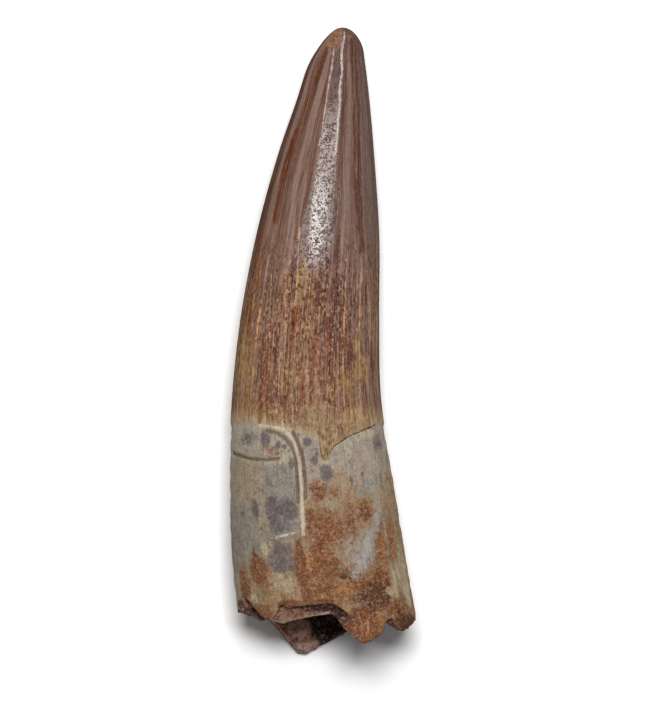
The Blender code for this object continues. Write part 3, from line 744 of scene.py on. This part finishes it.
def on_points(values):
    """Values of a grid in the order of the mesh's points: the rings between the ends, then the ends."""
    inner = values[1:-1].reshape(-1, *values.shape[2:])
    return np.concatenate((inner, values[0].mean(axis=0)[None], values[-1].mean(axis=0)[None]))


def keep(mesh, name, values, kind="FLOAT"):
    """Keeps a value or a vector at each point of the mesh, for the materials to read."""
    attribute = mesh.attributes.new(name, kind, "POINT")
    attribute.data.foreach_set("value" if kind == "FLOAT" else "vector", on_points(values).ravel())


def mark_skin(mesh, points, angle, cavity, worn):
    """Puts the places of enamel, flutes, ridges, lines and stains on the mesh."""
    depth = LENGTH / 2 - points[..., 1]
    height = LENGTH - depth
    place = roll_out(angle, height)
    keep(mesh, "enamel", np.clip(enamel_reach(points[..., 0], height, angle) / MM, -4, 4))
    keep(mesh, "channel", flute_channels(angle, depth)[1] * on_lines(FLUTE_FADE, depth))
    keep(mesh, "ridge", fine_ridges(angle, depth) * on_lines(RIDGE_FADE, depth))
    keep(mesh, "polished", polish(angle, depth))
    keep(mesh, "worn", np.clip(worn / FULLY_WORN, 0, 1))
    above = points[..., :2] + (0, LENGTH / 2)
    for where, lay, lines, stains in (
        (place, on_skin, {**CROWN_LINES, **ROOT_LINES, **CRACK_LINES}, {**CROWN_STAINS, **ROOT_STAINS}),
        (above, from_above, {**WALL_LINES, **SPLINTER_LINES}, {**WALL_STAINS, **SPLINTER_STAINS}),
    ):
        for name, line in lines.items():
            keep(mesh, name, line_nearness(where, line, lay))
        for name, stain in stains.items():
            keep(mesh, name, stain_strength(where, stain, lay))
    keep(mesh, "up_cavity", cavity)
    keep(mesh, "rolled", np.stack((np.cos(angle), np.sin(angle), depth), axis=-1), "FLOAT_VECTOR")


def seen(red, green, blue):
    """The surface colour that shows on the screen with these values from 0 to 255: the light of the
    screen's colour, less a little, over the light that a white face shows."""
    shares = np.array((red, green, blue)) / 255
    light = np.where(shares <= 0.04045, shares / 12.92, ((shares + 0.055) / 1.055) ** 2.4)
    return (*np.maximum((light - DEEPENING) / LIGHT, DARKEST), 1.0)


class Sketch:
    """A node tree, with one short method for each kind of node that the tooth needs."""

    def __init__(self, tree):
        self.tree = tree

    def node(self, kind, inputs=(), **settings):
        """A new node with these settings. Its inputs are given by their names or numbers."""
        made = self.tree.nodes.new(kind)
        for name, value in settings.items():
            setattr(made, name, value)
        for socket, value in dict(inputs).items():
            self.feed(made.inputs[socket], value)
        return made

    def feed(self, socket, value):
        """Links an input to another node's output, or gives it a plain value."""
        if isinstance(value, bpy.types.NodeSocket):
            self.tree.links.new(value, socket)
        else:
            socket.default_value = value

    def read(self, name, output="Fac"):
        """What mark_skin keeps on the mesh under this name."""
        return self.node("ShaderNodeAttribute", attribute_name=name).outputs[output]

    def place(self):
        """The place on the tooth, in metres."""
        return self.node("ShaderNodeTexCoord").outputs["Object"]

    def axis(self, vector, name):
        """One number of a vector."""
        return self.node("ShaderNodeSeparateXYZ", {0: vector}).outputs[name]

    def noise(self, where, scale, detail=3.0, rough=0.55, distortion=0.0):
        """Cloudy noise, which lies mostly between 0.3 and 0.7."""
        inputs = {"Scale": scale, "Detail": detail, "Roughness": rough, "Distortion": distortion}
        return self.node("ShaderNodeTexNoise", {"Vector": where, **inputs}).outputs["Fac"]

    def plus(self, a, b):
        """Two numbers added up."""
        return self.node("ShaderNodeMath", {0: a, 1: b}, operation="ADD").outputs[0]

    def times(self, product, *factors):
        """Two or more numbers multiplied."""
        for factor in factors:
            product = self.node("ShaderNodeMath", {0: product, 1: factor}, operation="MULTIPLY").outputs[0]
        return product

    def between(self, start, end, share):
        """A number on the way from one plain number to another."""
        return self.plus(start, self.times(share, end - start))

    def swayed(self, value, noise, size):
        """A value moved to both sides by noise: the value plus the size times (noise - 0.5)."""
        return self.plus(value, self.times(self.plus(noise, -0.5), size))

    def step(self, value, low, high, start=0.0, end=1.0):
        """A smooth step from start to end, as the value goes from low to high. High may be below low."""
        inputs = {"Value": value, "From Min": low, "From Max": high, "To Min": start, "To Max": end}
        return self.node("ShaderNodeMapRange", inputs, interpolation_type="SMOOTHSTEP").outputs["Result"]

    def stretch(self, vector, scale):
        """A vector multiplied number by number."""
        return self.node("ShaderNodeVectorMath", {0: vector, 1: scale}, operation="MULTIPLY").outputs[0]

    def effect(self, name, *values):
        """What a shared node group makes of these inputs. Inputs that aren't given keep their usual value."""
        group = bpy.data.node_groups[name]
        return self.node("ShaderNodeGroup", dict(enumerate(values)), node_tree=group).outputs[0]


class Paint(Sketch):
    """The node tree of a new material, which lays colours over each other."""

    def __init__(self, name):
        self.material = bpy.data.materials.new(name)
        self.material.use_nodes = True
        super().__init__(self.material.node_tree)

    def finish(self, looks):
        """Gives the shader its inputs and returns the finished material."""
        shader = self.tree.nodes["Principled BSDF"]
        for name, value in looks.items():
            self.feed(shader.inputs[name], value)
        return self.material

    def bump(self, height):
        """The slopes of a relief whose height is in millimetres."""
        inputs = {"Strength": 1.0, "Distance": MM, "Height": height}
        return self.node("ShaderNodeBump", inputs).outputs["Normal"]

    def rolled(self, axis):
        """The cosine (X) or the sine (Y) of the angle round the tooth, or the depth from the tip (Z)."""
        return self.axis(self.read("rolled", "Vector"), axis)

    def streak(self, *shape):
        """Streaks down the tooth: their rates round and along it, and the noise at their edge and core."""
        return self.effect("streaks", *shape)

    def mix(self, share, a, b):
        """A colour between two others."""
        return self.node("ShaderNodeMix", {0: share, 6: a, 7: b}, data_type="RGBA").outputs[2]

    def blend(self, share, a, b):
        """A number between two others."""
        return self.node("ShaderNodeMix", {0: share, 2: a, 3: b}, data_type="FLOAT").outputs[0]

    def tint(self, colour, share, tone):
        """A colour with a share of another tone over it."""
        return self.mix(share, colour, seen(*tone))

    def tinted(self, colour, value, tints, where=1.0):
        """A colour with tints over it, which come in as a value goes from one number to another."""
        for begin, full, strength, tone in tints:
            share = self.times(self.step(value, begin, full, 0.0, strength), where)
            colour = self.tint(colour, share, tone)
        return colour

    def streaked(self, colour, streaks, where=1.0):
        """A colour with streaks of other tones over it."""
        for *shape, strength, tone in streaks:
            colour = self.tint(colour, self.times(self.streak(*shape), where, strength), tone)
        return colour

    def marked(self, colour, marks, where=1.0):
        """A colour with drawn lines or stains over it, each with its own ragged edge."""
        for name, mark in marks.items():
            mask = self.effect("ragged_mask", self.read(name), mark.cloud_rate, mark.ragged, mark.soft)
            colour = self.tint(colour, self.times(mask, mark.strength, where), mark.tone)
        return colour


def new_effect(name, inputs, output):
    """An empty node group with named number inputs and one number output."""
    tree = bpy.data.node_groups.new(name, "ShaderNodeTree")
    for label, value in inputs.items():
        socket = tree.interface.new_socket(label, in_out="INPUT", socket_type="NodeSocketFloat")
        socket.default_value = value
    tree.interface.new_socket(output, in_out="OUTPUT", socket_type="NodeSocketFloat")
    given = tree.nodes.new("NodeGroupInput").outputs
    return Sketch(tree), given, tree.nodes.new("NodeGroupOutput").inputs[output]


def make_ragged_mask():
    """A mark with a ragged, mottled edge: its strength plus clouds of noise, cut off softly."""
    usual = {"Strength": 0.0, "Cloud Rate": 900.0, "Raggedness": 1.0, "Softness": 0.2}
    sketch, given, result = new_effect("ragged_mask", usual, "Mask")
    strength, softness = given["Strength"], given["Softness"]
    cloud = sketch.noise(sketch.place(), given["Cloud Rate"], 4.0, 0.65)
    fading = sketch.times(given["Raggedness"], sketch.step(strength, 0.0, 0.25))
    low = sketch.plus(MASK_CUT, sketch.times(softness, -1.0))
    high = sketch.plus(MASK_CUT, softness)
    sketch.feed(result, sketch.step(sketch.swayed(strength, cloud, fading), low, high))


def make_streaks():
    """Streaks that run down the tooth: noise that is stretched along it and closes round it."""
    usual = {"Round": 20.0, "Along": 120.0, "Low": 0.45, "High": 0.6}
    sketch, given, result = new_effect("streaks", usual, "Streak")
    rates = {"X": given["Round"], "Y": given["Round"], "Z": given["Along"]}
    scale = sketch.node("ShaderNodeCombineXYZ", rates).outputs[0]
    noise = sketch.noise(sketch.stretch(sketch.read("rolled", "Vector"), scale), 1.0, 3.0, 0.6)
    sketch.feed(result, sketch.step(noise, given["Low"], given["High"]))


def enamel_ground(paint, side, depth, low_crown):
    """Crests, pale partly as a painted sheen, and channels, with painted shade towards both sides and
    a painted grey sheen on the right flank, darker by the tip, with broad faint streaks.
    """
    # The crests' pale pinkish grey is partly their colour and partly a painted sheen.
    crest = paint.mix(low_crown, seen(124, 98, 88), seen(126, 92, 70))
    channel = paint.mix(low_crown, seen(101, 72, 63), seen(92, 62, 50))
    colour = paint.mix(paint.step(paint.read("channel"), 0.2, 0.9), crest, channel)
    # Painted shade darkens the crown towards both edges; the grey on the right flank is a painted sheen.
    colour = paint.tinted(colour, side, SIDE_SHADE_AND_SHEEN)
    colour = paint.tinted(colour, depth, TIP_TINTS, paint.step(side, -0.1, 0.2))
    return paint.streaked(colour, BROAD_STREAKS)


def enamel_bands(paint, colour, side, depth, low_crown, above_foot):
    """Streaks of the low crown, rusty and straw, plum and grey, its golden foot and its grey right side."""
    right = paint.step(side, -0.8, -0.3, 0.15, 1)
    colour = paint.streaked(colour, LOW_STREAKS, low_crown)
    colour = paint.streaked(colour, LOW_RIGHT_STREAKS, paint.times(low_crown, right))
    colour = paint.tinted(colour, above_foot, FOOT_TINTS)
    return paint.tinted(colour, depth, GREY_TINTS, paint.step(side, -0.1, 0.3))


def small_worms(paint, high):
    """Small wormy patches of the polished flat, for its painted glints and its gloss."""
    return paint.step(paint.noise(paint.place(), 1900, 2, 0.6, 1.6), 0.43, high)


def enamel_marks(paint, colour):
    """Stains torn by streaks, a painted sheen over the polished flat with painted glints as pale
    worms, and patchy lines.
    """
    colour = paint.marked(colour, CROWN_STAINS, paint.streak(*STAIN_TEARS))
    # Painted sheen greys the polished flat, and its pale worms are painted glints.
    painted_sheen = paint.times(paint.read("polished"), 0.5)
    colour = paint.tint(colour, painted_sheen, (100, 88, 85))
    colour = paint.tint(colour, paint.times(painted_sheen, small_worms(paint, 0.53)), (176, 168, 166))
    return paint.marked(colour, CROWN_LINES, paint.between(0.3, 1, paint.streak(*LINE_PATCHES)))


def enamel_hairs(paint, colour, low_crown):
    """Hair-fine streaks and fibres, and painted highlights on the crests of the fine ridges and in thin
    pale streaks, broken along their length.
    """
    colour = paint.streaked(colour, FINE_STREAKS)
    colour = paint.streaked(colour, FIBRES, paint.between(0.3, 0.55, low_crown))
    broken = paint.streak(*RIDGE_BREAKS)
    # Painted highlights on the crests of the fine ridges, and in thin streaks.
    ridge = paint.times(paint.step(paint.read("ridge"), 0.3, 0.75), broken)
    colour = paint.tint(colour, paint.times(ridge, paint.between(0.2, 0.8, low_crown)), (202, 162, 132))
    return paint.streaked(colour, THIN_PAINTED_HIGHLIGHTS, paint.times(low_crown, broken))


def enamel_worms(paint, colour, side, depth, low_crown, worms):
    """Pale and dark worms, strongest in the middle of the low crown. The dark ones are strong on the
    polished flat and round the crown's waist too."""
    middle = paint.times(paint.step(side, -0.92, -0.55), paint.step(side, 0.8, 0.35))
    colour = paint.tint(colour, paint.times(low_crown, middle, 0.25), (96, 62, 50))
    pale = paint.plus(0.10, paint.times(low_crown, paint.between(0.17, 0.44, middle)))
    colour = paint.tint(colour, paint.times(paint.step(worms, 0.54, 0.66), pale), (202, 166, 136))
    waist = paint.times(paint.step(depth, 32 * MM, 37 * MM), paint.step(depth, 54 * MM, 48 * MM))
    extra = paint.times(paint.plus(paint.read("polished"), paint.times(waist, 0.6)), 0.5)
    dark = paint.times(paint.step(worms, 0.50, 0.36), paint.plus(pale, extra))
    return paint.tint(colour, dark, (54, 32, 28))


def enamel_colour(paint):
    """Plum-brown enamel at the tip, red-brown in its channels, ochre and olive towards its foot."""
    side, depth = paint.rolled("X"), paint.rolled("Z")
    down = paint.swayed(depth, paint.streak(6, 30, 0.3, 0.7), 12 * MM)
    low_crown = paint.step(down, 30 * MM, 46 * MM)
    above_foot = paint.plus(paint.read("enamel"), paint.times(paint.streak(8, 60, 0.3, 0.7), 2))
    worms = paint.noise(paint.stretch(paint.place(), (1, 0.45, 1)), 2900, 4, 0.65, 0.8)

    colour = enamel_ground(paint, side, depth, low_crown)
    colour = enamel_bands(paint, colour, side, depth, low_crown, above_foot)
    colour = enamel_marks(paint, colour)
    colour = enamel_hairs(paint, colour, low_crown)
    colour = enamel_worms(paint, colour, side, depth, low_crown, worms)
    colour = paint.tinted(colour, above_foot, FOOT_EDGE_TINTS)
    worn_away = paint.effect("ragged_mask", paint.read("worn"), 1500)
    worn_tip = paint.mix(paint.step(worms, 0.40, 0.60), seen(110, 82, 66), seen(152, 114, 92))
    return paint.mix(worn_away, colour, worn_tip)


def root_colour(paint):
    """Olive-grey dentine, with its violet, cream, blue-grey and rusty stains, lines and crust, and
    painted light on its left side.
    """
    place = paint.place()
    height = paint.axis(place, "Y")
    drifting = paint.swayed(height, paint.noise(place, 150, 4, 0.6), 40 * MM)
    colour = paint.mix(paint.step(drifting, -38 * MM, -24 * MM), seen(143, 112, 82), seen(152, 142, 128))
    colour = paint.streaked(colour, ROOT_STREAKS)
    mottle = paint.noise(place, 620, 5, 0.75)
    colour = paint.tinted(colour, mottle, ROOT_MOTTLE)
    # Painted light that lifts the root's left side, where it turns away from the lights.
    colour = paint.tinted(colour, paint.rolled("X"), ROOT_SIDE_PAINTED_LIGHT)
    colour = paint.tinted(colour, height, ROOT_HEIGHT_TINTS)
    colour = paint.marked(colour, ROOT_STAINS)
    colour = paint.marked(colour, ROOT_LINES)
    colour = paint.tinted(colour, mottle, LATE_ROOT_MOTTLE)
    grit = paint.noise(place, 2400, 4, 0.75, 0.8)
    rusty = paint.step(paint.plus(paint.read("rust"), paint.read("crust")), 0.2, 0.7)
    colour = paint.tinted(colour, grit, PALE_GRIT, paint.between(0.28, 0.40, rusty))
    colour = paint.tinted(colour, grit, DARK_GRIT)
    colour = paint.tinted(colour, grit, RUSTY_GRIT, rusty)
    return paint.streaked(colour, DARK_ROOT_HAIRS)


def skin_relief(paint, enamel):
    """Wrinkles and hairs on the enamel, and a fine grain on the root."""
    place = paint.place()
    wrinkles = paint.times(paint.noise(place, 1300, 3, 0.6, 0.8), 0.12)
    hairs = paint.times(paint.streak(*WRINKLE_HAIRS), 0.012)
    grain = paint.times(paint.noise(place, 1700, 5, 0.7), 0.12)
    return paint.blend(enamel, grain, paint.plus(wrinkles, hairs))


def skin_roughness(paint, enamel):
    """Enamel that is smooth at the tip and duller low on the crown, and dull dentine, a little uneven."""
    uneven = paint.step(paint.noise(paint.place(), 1500, 3), 0.3, 0.7, -0.06, 0.06)
    of_enamel = paint.plus(uneven, paint.step(paint.rolled("Z"), 30 * MM, 50 * MM, 0.26, 0.50))
    return paint.blend(enamel, paint.plus(uneven, 0.58), of_enamel)


def glints(paint):
    """The polished flat's clear coat, which lies in wormy patches."""
    patches = paint.step(paint.noise(paint.place(), 1050, 3, 0.6, 0.8), 0.36, 0.50, 0.15, 1)
    return paint.times(paint.read("polished"), 0.7, paint.times(patches, small_worms(paint, 0.51)))


def skin_material():
    """Wrinkled enamel with a glossy flat over matt dentine, and a crack along the enamel's foot."""
    paint = Paint("enamel_and_root")
    edge = paint.swayed(paint.read("enamel"), paint.noise(paint.place(), 1100, 4, 0.7), 0.7)
    enamel = paint.step(edge, -0.06, 0.06)
    at_foot = paint.times(paint.step(edge, -0.20, -0.08), paint.step(edge, 0.12, 0))
    colour = paint.mix(enamel, root_colour(paint), enamel_colour(paint))
    return paint.finish({
        "Base Color": paint.marked(colour, CRACK_LINES, at_foot),
        "Normal": paint.bump(skin_relief(paint, enamel)),
        "Roughness": skin_roughness(paint, enamel),
        "Coat Weight": glints(paint),
        "Coat Roughness": 0.14,
        "Coat IOR": 2,
        "Specular IOR Level": 0,
    })


def break_material():
    """The broken wall, tan and rusty, with painted shade under its outer edge, the pinkish splinter with
    a spot of painted light, and the cavity's black manganese lining, deepened by painted shade.
    """
    paint = Paint("broken_wall")
    place, across = paint.place(), paint.rolled("Y")
    cloud = paint.noise(place, 700, 4, 0.65)
    colour = paint.mix(paint.step(cloud, 0.40, 0.62), seen(92, 62, 50), seen(136, 98, 76))
    colour = paint.marked(colour, {**WALL_STAINS, **WALL_LINES}, paint.step(across, -0.1, 0))
    colour = paint.marked(colour, {**SPLINTER_STAINS, **SPLINTER_LINES}, paint.step(across, 0, -0.1))
    colour = paint.tinted(colour, paint.noise(place, 950, 3, 0.7, 1), BREAK_MOTTLE)
    # The cavity's near-black: a manganese lining, darkened further as painted shade of the hollow.
    inside = paint.step(paint.plus(paint.read("up_cavity"), paint.times(cloud, 0.25)), 0.25, 0.4)
    colour = paint.tint(colour, inside, (24, 17, 17))
    colour = paint.tinted(colour, paint.noise(place, 2000, 4, 0.75, 0.8), BREAK_GRIT)
    relief = paint.times(paint.noise(place, 1500, 5, 0.7), 0.16)
    return paint.finish({
        "Base Color": colour, "Normal": paint.bump(relief), "Roughness": 0.7, "Specular IOR Level": 0.1
    })


def make_tooth(cad_box):
    """The tooth's skin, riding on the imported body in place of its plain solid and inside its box."""
    points, angle, cavity, worn = tooth_surface()
    points = np.clip(points, *cad_box)
    mesh = closed_mesh("tooth_skin", points)
    mark_skin(mesh, points, angle, cavity, worn)
    make_ragged_mask()
    make_streaks()
    mesh.materials.append(skin_material())
    mesh.materials.append(break_material())
    broken = np.arange(len(mesh.polygons)) >= COLUMNS * (CROWN_ROWS + ROOT_ROWS)
    mesh.polygons.foreach_set("material_index", broken.astype(np.int32))
    mesh.shade_smooth()
    tooth = bpy.data.objects.new("tooth_skin", mesh)
    bpy.context.scene.collection.objects.link(tooth)
    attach(tooth, "root")
    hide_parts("tooth")


def make_floor():
    """A plain white floor just under the tooth."""
    bpy.ops.mesh.primitive_plane_add(size=FLOOR_SIZE, location=(0, 0, -FLOOR_GAP))
    floor = bpy.context.object
    floor.name = "floor"
    looks = {"Base Color": (0.88, 0.88, 0.88, 1), "Roughness": 0.9}
    floor.data.materials.append(Paint("white_floor").finish(looks))


def add_light(name, place, size, power):
    """A soft rectangular light at a place, turned to the tooth."""
    light = bpy.data.lights.new(name, "AREA")
    light.shape = "RECTANGLE"
    light.size, light.size_y = size
    light.energy = power
    holder = bpy.data.objects.new(name, light)
    holder.location = place
    holder.rotation_euler = (-holder.location).to_track_quat("-Z", "Y").to_euler()
    bpy.context.scene.collection.objects.link(holder)


def make_lights():
    """A key light above and beyond the tip, a narrow strip still further beyond, and a pale world."""
    add_light("key", place=(0.02, 0.13, 0.60), size=(0.24, 0.12), power=4.15)
    add_light("strip", place=(0.015, 0.34, 0.50), size=(0.12, 0.28), power=0.75)
    world = bpy.data.worlds.new("pale_world")
    world.use_nodes = True
    background = world.node_tree.nodes["Background"]
    background.inputs["Color"].default_value = (1, 1, 1, 1)
    background.inputs["Strength"].default_value = 0.17
    bpy.context.scene.world = world
    bpy.context.scene.view_settings.view_transform = "Standard"


def make_camera():
    """A long lens that looks straight down, with the photograph's framing."""
    lens = bpy.data.cameras.new("camera")
    lens.lens = 300
    lens.sensor_width = 36
    lens.clip_start, lens.clip_end = 0.01, 10
    camera = bpy.data.objects.new("camera", lens)
    camera.location = CAMERA_PLACE
    bpy.context.scene.collection.objects.link(camera)
    bpy.context.scene.camera = camera


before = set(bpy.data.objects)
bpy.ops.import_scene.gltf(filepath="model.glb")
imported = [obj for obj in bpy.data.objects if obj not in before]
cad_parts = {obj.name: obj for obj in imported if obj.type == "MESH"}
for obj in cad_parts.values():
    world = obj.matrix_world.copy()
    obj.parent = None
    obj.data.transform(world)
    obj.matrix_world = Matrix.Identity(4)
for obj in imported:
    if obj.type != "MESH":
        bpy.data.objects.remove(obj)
cad_box = [list(corner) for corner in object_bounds()]
make_tooth(cad_box)
make_floor()
make_lights()
make_camera()
